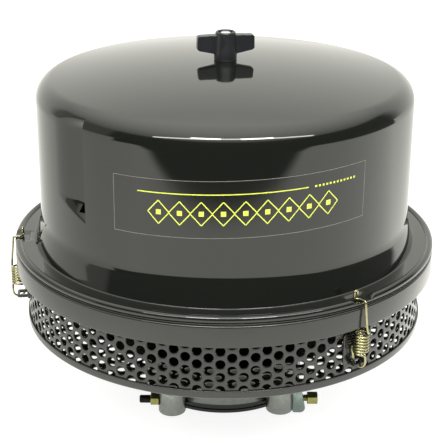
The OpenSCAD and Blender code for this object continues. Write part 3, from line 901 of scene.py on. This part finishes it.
def drawn_wire(path, diameter, sides=14):
    """A round wire along a path in millimetres, with sheared and slightly rounded ends."""
    tip_share = 0.7
    spots = [Vector(p) * MM for p in path]
    verts, rings = [], []
    side = None
    for i, spot in enumerate(spots):
        along = (spots[min(i + 1, len(spots) - 1)] - spots[max(i - 1, 0)]).normalized()
        side = along.orthogonal() if side is None else side - side.dot(along) * along
        side.normalize()
        rings.append((spot, along, side.copy(), 1.0))
    tip = diameter / 2 * 0.35 * MM
    spot, along, across, _ = rings[0]
    rings.insert(0, (spot - along * tip, along, across, tip_share))
    spot, along, across, _ = rings[-1]
    rings.append((spot + along * tip, along, across, tip_share))
    for spot, along, across, share in rings:
        other = along.cross(across)
        for j in range(sides):
            a = 2 * math.pi * j / sides
            aside = (across * math.cos(a) + other * math.sin(a)) * diameter / 2 * MM * share
            verts.append(tuple(spot + aside))
    return verts, capped_faces(len(rings), sides)


def round_the_base(verts, azimuth, radius):
    """Carries points from a frame with X outward to an azimuth of the base, radius in millimetres."""
    turn = Matrix.Rotation(math.radians(azimuth - 90), 4, "Z")
    carry = turn @ Matrix.Translation((radius * MM, 0, 0))
    return [tuple(carry @ Vector(v)) for v in verts]


# The wire's colour runs from pale straw to olive where the passivation is thicker.
spring_wire = zinc_plate("spring_wire_yellow_passivated", "#aaa683", "#858055", 0.22, 3, 0.8)
wire_verts, wire_quads = drawn_wire(rounded_path(clip_path(), 2), wire_d)
for k, at in enumerate(clip_azimuths):
    name = f"clip_{k + 1}"
    points = round_the_base(wire_verts, at, clip_r)
    piece(f"spring_{name}", points, wire_quads, spring_wire, name, "clip_wire", name)


# Clip brackets: 1.5 mm strip spot welded to the screen, its foot folded out to a thick slotted ear.
# They are coated with the base, so they share its satin black.
bracket_low = ear_z - ear_t / 2


def plate(width, height, thick, corner_mm, round_mm):
    """A flat plate in the YZ plane, X its thickness, its corners rounded and its edges softened, in mm."""
    outline = []
    for cy, cz, start in (
        (width / 2 - corner_mm, height - corner_mm, 0),
        (-width / 2 + corner_mm, height - corner_mm, 90),
        (-width / 2 + corner_mm, corner_mm, 180),
        (width / 2 - corner_mm, corner_mm, 270),
    ):
        outline += bend(cy, cz, corner_mm, start, start + 90, 6)
    k = (corner_mm - round_mm) / corner_mm
    inset = []
    for y, z in outline:
        cy = max(-width / 2 + corner_mm, min(width / 2 - corner_mm, y))
        cz = max(corner_mm, min(height - corner_mm, z))
        inset.append((cy + (y - cy) * k, cz + (z - cz) * k))
    between = [tuple(0.85 * a + 0.15 * b for a, b in zip(out, inn)) for out, inn in zip(outline, inset)]
    loops = [(0, outline), (thick - round_mm, outline), (thick - round_mm * 0.3, between), (thick, inset)]
    return [(x, y, z) for x, loop in loops for y, z in loop], capped_faces(len(loops), len(outline))


def slotted_ear():
    """The folded ear: a thick tongue with a rectangular slot for the clip's loop."""
    tip = clip_r + ear_t / 2 - screen_r
    half_w, tip_r = 7.5, 2.5
    slot_out = clip_r - ear_t / 2 - screen_r
    slot_in, slot_half_w, slot_r = slot_out - 7, 4.6, 0.8
    outer = [(0.0, -half_w)]
    outer += bend(tip - tip_r, -half_w + tip_r, tip_r, -90, 0, 5)
    outer += bend(tip - tip_r, half_w - tip_r, tip_r, 0, 90, 5) + [(0.0, half_w)]
    hole = []
    for x, y, start in (
        (slot_in + slot_r, -slot_half_w + slot_r, 180),
        (slot_out - slot_r, -slot_half_w + slot_r, 270),
        (slot_out - slot_r, slot_half_w - slot_r, 0),
        (slot_in + slot_r, slot_half_w - slot_r, 90),
    ):
        hole += bend(x, y, slot_r, start, start + 90, 3)
    work = bmesh.new()
    edges = []
    for loop in (outer, hole):
        made = [work.verts.new((x, y, bracket_low)) for x, y in loop]
        edges += [work.edges.new((made[i], made[(i + 1) % len(made)])) for i in range(len(made))]
    flat = bmesh.ops.triangle_fill(work, edges=edges, use_beauty=True)
    caps = [g for g in flat["geom"] if isinstance(g, bmesh.types.BMFace)]
    raised = bmesh.ops.extrude_face_region(work, geom=caps)
    lifted = [g for g in raised["geom"] if isinstance(g, bmesh.types.BMVert)]
    bmesh.ops.translate(work, verts=lifted, vec=(0, 0, ear_t))
    bmesh.ops.recalc_face_normals(work, faces=work.faces)
    level = [e for e in work.edges if abs(e.verts[0].co.z - e.verts[1].co.z) < 1e-6]
    rims = [e for e in level if len(e.link_faces) == 2 and e.calc_face_angle(0) > 1.0]
    bmesh.ops.bevel(work, geom=rims, offset=0.35, segments=2, affect="EDGES", profile=0.6)
    work.verts.index_update()
    verts = [tuple(v.co) for v in work.verts]
    quads = [tuple(v.index for v in f.verts) for f in work.faces]
    work.free()
    return verts, quads


plate_verts, plate_quads = plate(width=25.0, height=29.0, thick=sheet, corner_mm=3.0, round_mm=0.4)
bent = []
for x, y, z in plate_verts:  # the flat strip takes the screen's curve
    a = y / screen_r
    r = screen_r + x
    bent.append(((r * math.cos(a) - screen_r) * MM, r * math.sin(a) * MM, (bracket_low + z) * MM))
ear_verts, ear_quads = slotted_ear()
bracket_verts = bent + [(x * MM, y * MM, z * MM) for x, y, z in ear_verts]
bracket_quads = plate_quads + [tuple(len(bent) + i for i in q) for q in ear_quads]
for k, at in enumerate(clip_azimuths):
    name = f"clip_bracket_{k + 1}"
    points = round_the_base(bracket_verts, at, screen_r)
    piece(f"slotted_{name}", points, bracket_quads, satin_black, "base", "base_paint", name, sharp=35)

# Clamp round the neck: a split band of zinc-plated strip closed by two turned barrels. A yellow-plated
# bolt crosses each one; the left barrel takes it with a nut, its rod end darkened with painted shade,
# and the right one closes on a plated lug and a hexagon head.
band_steel = zinc_plate("zinc_plate_band", "#8b908e", "#6c7271", 0.3, 5, 1.0)
lug_zinc = zinc_plate("zinc_plate_blue_passivated", "#899794", "#727f7c", 0.3, 5, 1.2)
# Painted shade: the bolt's tail past the left nut gets a dark grey in place of its yellow plating.
rod_painted_shade = zinc_plate("rod_end_painted_shade", "#2b2c2c", "#1d1e1f", 0.38, 3, 1.0)
dress(band_steel, "clamp_band_front", "clamp_band_rear")
barrel_ring, barrel_r = 93.1, 13.3
barrel_low, barrel_top = 3.0, 27.0
barrel_at = {"left": (-32.0, -1), "right": (36.5, 1)}  # azimuth, and which way its bolt points along X
bolt_z, bolt_r, thread_pitch = 15.0, 3.5, 1.5


def fitting(name, side, shape, material, slot, node, sharp=40):
    """A piece of the clamp, carried to its place from its barrel's frame: X away along the bolt, Z up."""
    azimuth, way = barrel_at[side]
    a = math.radians(azimuth)
    middle = Vector((math.sin(a), -math.cos(a), 0)) * barrel_ring * MM
    along, out = Vector((way, 0, 0)), Vector((0, -1, 0))
    points = [tuple(middle + along * v[0] + out * v[1] + Vector((0, 0, v[2]))) for v in shape[0]]
    return piece(f"clamp_{side}_{name}", points, shape[1], material, "base", slot, node, sharp=sharp)


def along_bolt(rings):
    """A body along X from rings of (x, [(y, z), ...]) in millimetres, with its ends closed."""
    verts = [(x * MM, y * MM, (z + bolt_z) * MM) for x, ring in rings for y, z in ring]
    return verts, capped_faces(len(rings), len(rings[0][1]))


def cut_thread(start, end, radius, pitch, depth=0.55, around=28):
    """A rolled screw thread along the bolt, its crests and roots rounded and its ends run out."""
    rings = []
    per_turn, run_out = 8, 6
    steps = int((end - start) / pitch * per_turn)
    for i in range(steps + 1):
        x = start + (end - start) * i / steps
        fade = min(1.0, i / run_out, (steps - i) / run_out)
        ring = []
        for j in range(around):
            a = 2 * math.pi * j / around
            wave = 0.5 + 0.5 * math.cos(2 * math.pi * x / pitch - a)
            r = radius - depth * (1 - wave * fade)
            ring.append((r * math.cos(a), r * math.sin(a)))
        rings.append((x, ring))
    return along_bolt(rings)


def hexagon(start, end, across, around=48):
    """A hexagon head or nut, turned to a 30 degree cone at both ends so that its corners show as arcs."""
    rings = []
    depth, face_share, cone_rise = 0.9, 0.96, 1.73
    shares = (0, 0.35, 0.7, 1)
    for x in [start + depth * k for k in shares] + [end - depth * k for k in reversed(shares)]:
        edge = min(x - start, end - x)
        cone = across / 2 * face_share + edge * cone_rise
        ring = []
        for j in range(around):
            a = 360 * j / around
            flat = across / 2 / math.cos(math.radians((a + 30) % 60 - 30))
            r = min(flat, cone)
            ring.append((r * math.cos(math.radians(a)), r * math.sin(math.radians(a))))
        rings.append((x, ring))
    return along_bolt(rings)


def turned_barrel():
    """The barrel with its cross hole, whose mouths are countersunk."""
    edge = 1.1
    bore_r, mouth_r, bore_half_l, half_l = 4.4, 7.2, 11.4, 15.0
    section = [(0.0, barrel_low), (barrel_r - edge, barrel_low)]
    section += bend(barrel_r - edge, barrel_low + edge, edge, -90, 0, 5)
    section += bend(barrel_r - edge, barrel_top - edge, edge, 0, 90, 5) + [(0.0, barrel_top)]
    bore = [(0.0, -half_l), (mouth_r, -half_l), (bore_r, -bore_half_l)]
    bore += [(bore_r, bore_half_l), (mouth_r, half_l), (0.0, half_l)]
    verts, quads = lathe(bore, 48)
    lying = [(z, y, x + bolt_z * MM) for x, y, z in verts]
    bodies = []
    for shape in (lathe(section, 96), (lying, quads)):
        mesh = bpy.data.meshes.new("blank")
        mesh.from_pydata(shape[0], [], shape[1])
        work = bmesh.new()
        work.from_mesh(mesh)
        bmesh.ops.remove_doubles(work, verts=work.verts, dist=1e-7)
        bmesh.ops.recalc_face_normals(work, faces=work.faces)
        work.to_mesh(mesh)
        work.free()
        body = bpy.data.objects.new("blank", mesh)
        bpy.context.scene.collection.objects.link(body)
        bodies.append(body)
    cut = bodies[0].modifiers.new("cross_hole", "BOOLEAN")
    cut.object = bodies[1]
    cut.operation = "DIFFERENCE"
    cut.solver = "EXACT"
    bpy.context.view_layer.update()
    done = bpy.data.meshes.new_from_object(bodies[0].evaluated_get(bpy.context.evaluated_depsgraph_get()))
    for body in bodies:
        bpy.data.objects.remove(body)
    return [tuple(v.co) for v in done.vertices], [tuple(p.vertices) for p in done.polygons]


def lug_block(start, end, low, high, depth, corner):
    """A plate that stands beside the barrel, its corners rounded, X along the bolt."""
    top_r, heel_r = 1.0, corner * 0.4
    outline = bend(end - corner, high - top_r, top_r, 0, 90, 4)
    outline += bend(start + top_r, high - top_r, top_r, 90, 180, 4)
    outline += bend(start + heel_r, low + heel_r, heel_r, 180, 270, 4)
    outline += bend(end - corner, low + corner, corner, 270, 360, 6)
    mid_x, mid_z = (start + end) / 2, (low + high) / 2
    near_side = [(-depth / 2, 0.93), (-depth / 2 + 0.15, 0.975), (-depth / 2 + 0.6, 1.0)]  # (y, share)
    verts = []
    for y, share in near_side + [(-y, share) for y, share in reversed(near_side)]:
        tall = 1 - (1 - share) * 0.4  # the softened sides draw in less at the top and foot
        for x, z in outline:
            verts.append(((mid_x + (x - mid_x) * share) * MM, y * MM, (mid_z + (z - mid_z) * tall) * MM))
    return verts, capped_faces(2 * len(near_side), len(outline))


def round_bar(section, around=32):
    """A plain bar along the bolt, from its (x, radius) points."""
    turns = [2 * math.pi * j / around for j in range(around)]
    return along_bolt([(x, [(r * math.cos(a), r * math.sin(a)) for a in turns]) for x, r in section])


barrel = turned_barrel()
thread_start, thread_ends = 2.0, {"left": 22.0, "right": 28.5}
for side in barrel_at:
    fitting("barrel_turned", side, barrel, bright_zinc, "clamp_zinc", f"clamp_barrel_{side}", 30)
    thread = cut_thread(thread_start, thread_ends[side], bolt_r, thread_pitch)
    fitting("thread", side, thread, yellow_zinc, "bolt_zinc", f"clamp_bolt_{side}")
head = hexagon(26.8, 36.8, 11.8)
fitting("hexagon_head", "right", head, yellow_zinc, "bolt_zinc", "clamp_bolt_right", 25)
lug = lug_block(start=12.6, end=25.0, low=0.4, high=27.0, depth=7.0, corner=5.0)
fitting("lug", "right", lug, lug_zinc, "clamp_zinc", "clamp_nut_right", 35)
nut_start, nut_end = 12.9, 20.9
nut = hexagon(nut_start, nut_end, 11.5)
fitting("hexagon_nut", "left", nut, yellow_zinc, "bolt_zinc", "clamp_nut_left", 25)
# The bolt's tail past the nut, darkened with painted shade.
rod_end = round_bar([(nut_end, 3.6), (nut_end, 3.9), (30.6, 3.9), (31.6, 3.3), (31.7, 2.8)])
fitting("rod_end", "left", rod_end, rod_painted_shade, "bolt_zinc", "clamp_bolt_left", 35)

# Camera of the photograph: a short telephoto a little over a metre off, looking down on the dome.
# Its place and lens were fitted to the rims of the hood and the band.
camera = bpy.data.objects.new("camera", bpy.data.cameras.new("camera"))
bpy.context.scene.collection.objects.link(camera)
camera.data.sensor_width = 36
camera.data.lens = 99.64
camera.data.clip_start = 0.05
camera.data.clip_end = 50
camera_spot = (-0.00257, -1.1256, 0.6156)
look_down, roll = 0.377, 0.007
camera.matrix_world = (
    Matrix.Translation(camera_spot)
    @ Matrix.Rotation(math.pi / 2 - look_down, 4, "X")
    @ Matrix.Rotation(roll, 4, "Z")
)
bpy.context.scene.camera = camera
bpy.context.scene.view_settings.view_transform = "Standard"

# Studio: a white laminate table under a broad soft ceiling light. The room is dark on the camera's
# side, which the gloss paint shows as black bands.
floor_z = -0.0031
gentle = {"clamp": True, "interpolation_type": "SMOOTHSTEP"}
bpy.ops.mesh.primitive_plane_add(size=14, location=(0, 0, floor_z))
floor = bpy.context.object
floor.name = "studio_table"
table, tree, place = bare_finish("table_white_laminate")
spot_on = add(tree, "ShaderNodeNewGeometry").outputs["Position"]
where = add(tree, "ShaderNodeSeparateXYZ", {0: spot_on})
path = add(tree, "ShaderNodeLightPath")
reach = add(tree, "ShaderNodeVectorMath", {0: spot_on}, operation="LENGTH").outputs["Value"]

# In the paint's reflections the table ends 1.15 to 1.5 m off and at its front edge, but goes on behind.
wide = add(tree, "ShaderNodeMapRange", {0: reach, 1: 1.15, 2: 1.5, 3: 1.0, 4: 0.1}, **gentle)
front_edge = add(
    tree, "ShaderNodeMapRange", {0: where.outputs["Y"], 1: -0.86, 2: -0.77, 3: 0.09, 4: 1.0}, **gentle
)
near = add(tree, "ShaderNodeMath", {0: wide.outputs[0], 1: front_edge.outputs[0]}, operation="MINIMUM")
to_room = (0.415, -0.910, 0.0)
toward_dark = add(tree, "ShaderNodeVectorMath", {0: spot_on, 1: to_room}, operation="DOT_PRODUCT")
behind = add(
    tree, "ShaderNodeMapRange", {0: toward_dark.outputs["Value"], 1: 0.12, 2: -0.02, 3: 0.0, 4: 1.0}, **gentle
)
lit = add(tree, "ShaderNodeMath", {0: near.outputs[0], 1: behind.outputs[0]}, operation="MAXIMUM")

# It dims toward the back left and the back right, and in the shade under the part.
to_back_left, to_back_right = (-0.829, 0.559, 0.0), (0.423, 0.906, 0.0)
radial = add(tree, "ShaderNodeVectorMath", {0: spot_on}, operation="NORMALIZE").outputs[0]
heading = add(tree, "ShaderNodeVectorMath", {0: radial, 1: to_back_left}, operation="DOT_PRODUCT")
rightward = add(tree, "ShaderNodeVectorMath", {0: radial, 1: to_back_right}, operation="DOT_PRODUCT")
right_dim = add(
    tree, "ShaderNodeMapRange", {0: rightward.outputs["Value"], 1: 0.72, 2: 1.0, 3: 1.0, 4: 0.56}, clamp=True
)
left_dim = add(
    tree, "ShaderNodeMapRange", {0: heading.outputs["Value"], 1: 0.2, 2: 1.0, 3: 2.25, 4: 1.32}, clamp=True
)
under = add(tree, "ShaderNodeMapRange", {0: reach, 1: 0.06, 2: 0.33, 3: 0.3, 4: 1.0}, **gentle)
dimmed = add(tree, "ShaderNodeMath", {0: left_dim.outputs[0], 1: right_dim.outputs[0]}, operation="MULTIPLY")
sided = add(tree, "ShaderNodeMath", {0: under.outputs[0], 1: dimmed.outputs[0]}, operation="MULTIPLY")
mirrored = add(tree, "ShaderNodeMath", {0: lit.outputs[0], 1: sided.outputs[0]}, operation="MULTIPLY")

# The camera sees a white table that still takes the part's shadow.
seen_white = add(tree, "ShaderNodeEmission", {"Color": (1, 1, 1, 1), "Strength": 0.88})
lambert = add(tree, "ShaderNodeBsdfDiffuse", {"Color": linear("#8c8c8c"), "Roughness": 0.0})
seen = add(tree, "ShaderNodeAddShader", {0: seen_white.outputs[0], 1: lambert.outputs[0]})
warm_white = linear("#fffff6")
reflected = add(tree, "ShaderNodeEmission", {"Color": warm_white, "Strength": mirrored.outputs[0]})
for_light = add(tree, "ShaderNodeBsdfDiffuse", {"Color": linear("#c8c8c8")})
shiny = add(
    tree,
    "ShaderNodeMixShader",
    {0: path.outputs["Is Glossy Ray"], 1: for_light.outputs[0], 2: reflected.outputs[0]},
)
final = add(
    tree, "ShaderNodeMixShader", {0: path.outputs["Is Camera Ray"], 1: shiny.outputs[0], 2: seen.outputs[0]}
)
add(tree, "ShaderNodeOutputMaterial", {"Surface": final.outputs[0]})
floor.data.materials.append(table)

# The room: a ceiling that glows from about 30 degrees up, a pale wall behind the part, a dimmer one
# at the left, and near dark toward the camera. The camera itself sees plain white.
world = bpy.data.worlds.new("studio_room")
bpy.context.scene.world = world
world.use_nodes = True
room = world.node_tree
room.nodes.clear()
toward = add(room, "ShaderNodeSeparateXYZ", {0: add(room, "ShaderNodeTexCoord").outputs["Generated"]})
level_x, level_y, height = (toward.outputs[axis] for axis in "XYZ")
flat = add(room, "ShaderNodeCombineXYZ", {0: level_x, 1: level_y}).outputs[0]
flat_l = add(room, "ShaderNodeVectorMath", {0: flat}, operation="LENGTH").outputs["Value"]
some_l = add(room, "ShaderNodeMath", {0: flat_l, 1: 0.001}, operation="MAXIMUM").outputs[0]
flat_y = add(room, "ShaderNodeMath", {0: level_y, 1: some_l}, operation="DIVIDE").outputs[0]
ceiling = add(room, "ShaderNodeMapRange", {0: height, 1: 0.42, 2: 0.56, 3: 0.0, 4: 1.0}, **gentle)
ceiling_level = add(room, "ShaderNodeMapRange", {0: height, 1: 0.56, 2: 1.0, 3: 1.42, 4: 3.3}, clamp=True)
back_wall = add(room, "ShaderNodeMapRange", {0: flat_y, 1: 0.34, 2: 0.64, 3: 0.2, 4: 1.45}, **gentle)
left_wall = add(room, "ShaderNodeMapRange", {0: flat_y, 1: -0.42, 2: -0.3, 3: 0.0, 4: 0.65}, **gentle)
left_side = add(room, "ShaderNodeMapRange", {0: level_x, 1: -0.05, 2: 0.05, 3: 1.0, 4: 0.0}, clamp=True)
left_level = add(
    room, "ShaderNodeMath", {0: left_wall.outputs[0], 1: left_side.outputs[0]}, operation="MULTIPLY"
)
walls = add(
    room, "ShaderNodeMath", {0: back_wall.outputs[0], 1: left_level.outputs[0]}, operation="MAXIMUM"
)
level = add(
    room,
    "ShaderNodeMix",
    {0: ceiling.outputs[0], 2: walls.outputs[0], 3: ceiling_level.outputs[0]},
    data_type="FLOAT",
)
room_light = add(room, "ShaderNodeBackground", {"Color": warm_white, "Strength": level.outputs[0]})
white = add(room, "ShaderNodeBackground", {"Color": (1, 1, 1, 1), "Strength": 1.0})
ray = add(room, "ShaderNodeLightPath")
seen_room = add(
    room,
    "ShaderNodeMixShader",
    {0: ray.outputs["Is Camera Ray"], 1: room_light.outputs[0], 2: white.outputs[0]},
)
add(room, "ShaderNodeOutputWorld", {"Surface": seen_room.outputs[0]})

# A long strip light hangs over the camera with two brighter tubes, and draws the bright line on the
# hood's shoulder. All three are turned to the middle of the part.
part_middle = Vector((0, 0, 0.25))
for name, spot, size, power in (
    ("strip_long", (0.12, -1.25, 1.42), (2.9, 0.15), 23.0),
    ("strip_left", (-0.27, -1.22, 1.45), (0.42, 0.18), 7.5),
    ("strip_right", (0.46, -1.22, 1.45), (0.48, 0.18), 8.5),
):
    lamp = bpy.data.lights.new(name, "AREA")
    lamp.shape = "RECTANGLE"
    lamp.size, lamp.size_y = size
    lamp.energy = power
    held = bpy.data.objects.new(name, lamp)
    bpy.context.scene.collection.objects.link(held)
    held.location = spot
    held.rotation_euler = (part_middle - Vector(spot)).to_track_quat("-Z", "Y").to_euler()
